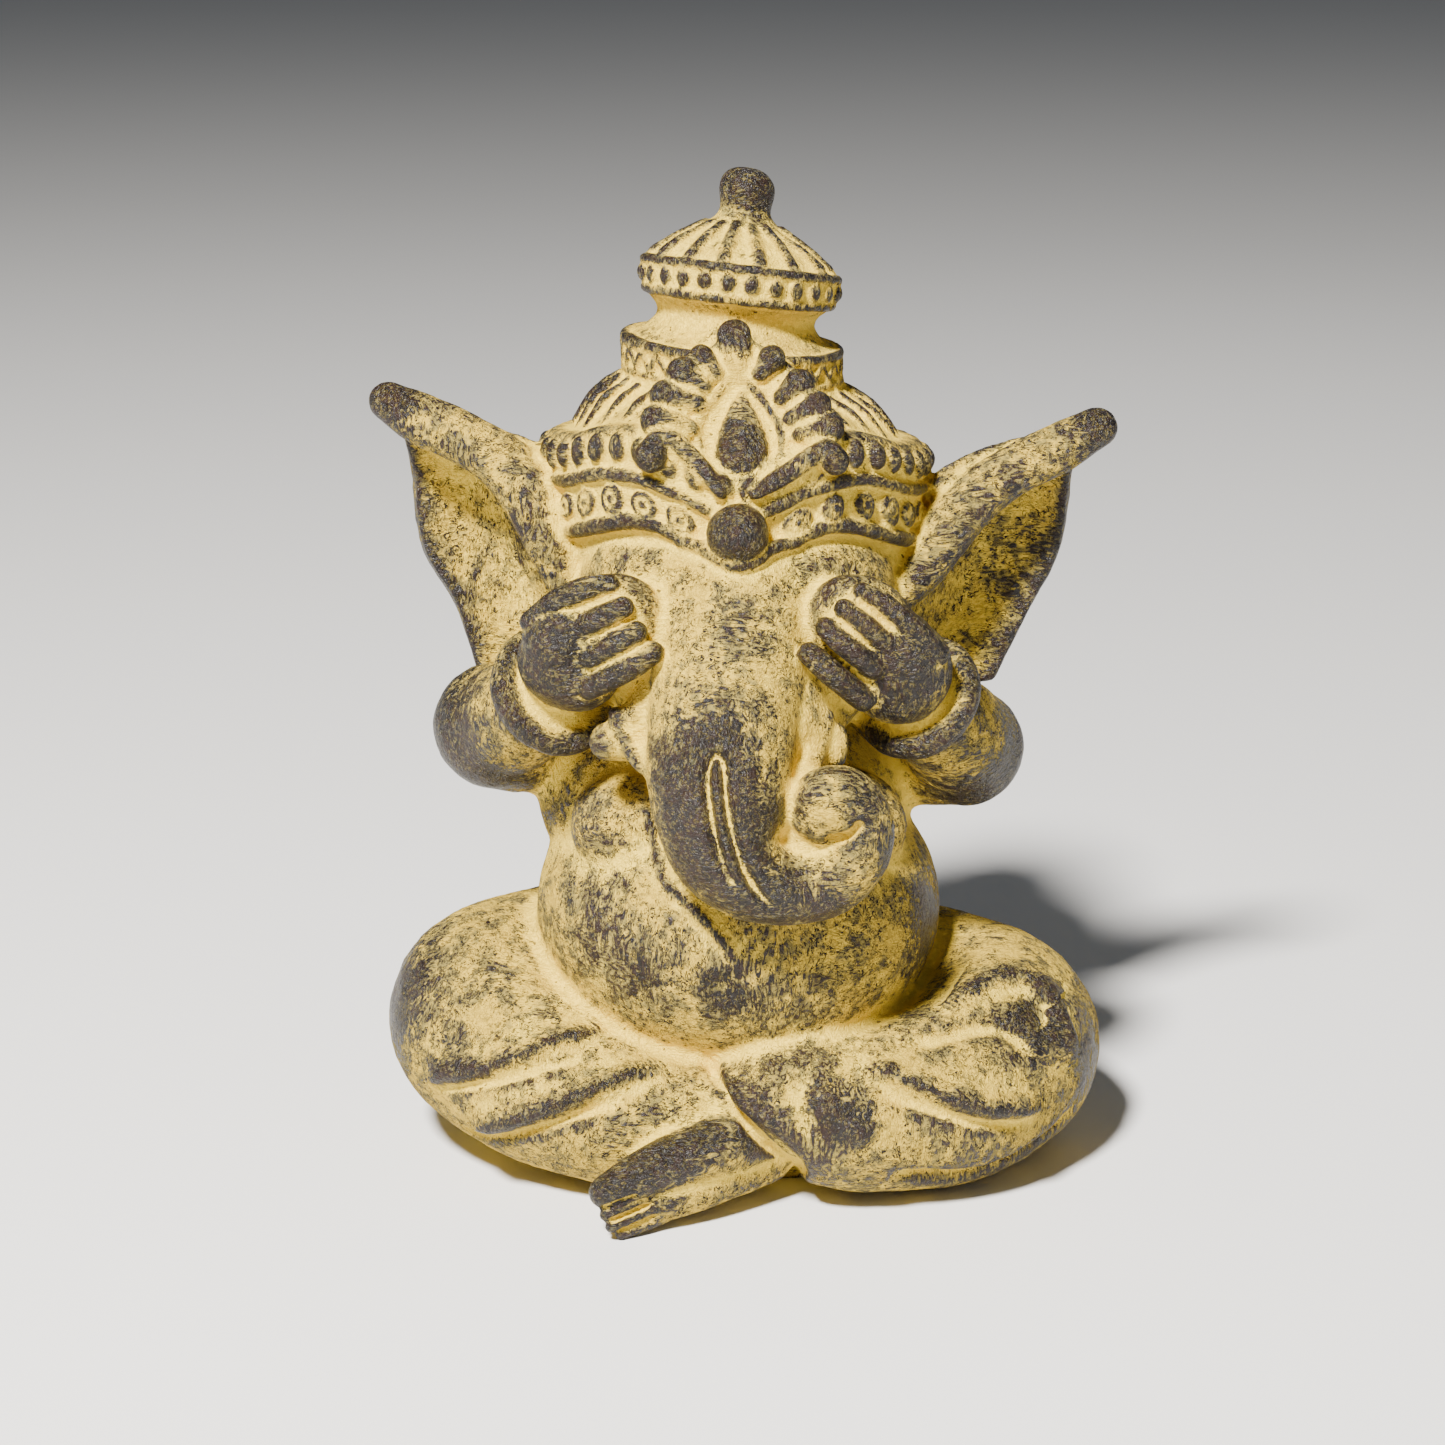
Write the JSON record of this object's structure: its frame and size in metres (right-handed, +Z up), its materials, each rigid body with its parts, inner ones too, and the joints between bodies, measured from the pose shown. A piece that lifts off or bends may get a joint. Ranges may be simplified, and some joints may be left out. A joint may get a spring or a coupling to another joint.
{
  "type": "baby ganesha statue",
  "caption": "Cast stone baby Ganesha in a tiered crown, seated cross-legged, hiding the eyes with both hands, trunk curled to one side.",
  "frame": {"origin": "on the flat underside, on the ground below the crown's axis", "axes": "+Z up, -Y out of the face towards the viewer, +X to the statue's left"},
  "size_m": [0.1856, 0.1322, 0.2494],
  "materials": {
    "cast_stone": "matt ochre wash in the hollows, rubbed through to dark charcoal brown on the raised places"
  },
  "bodies": {
    "root": {"baby_ganesha_statue": "cast_stone"}
  },
  "joints": []
}
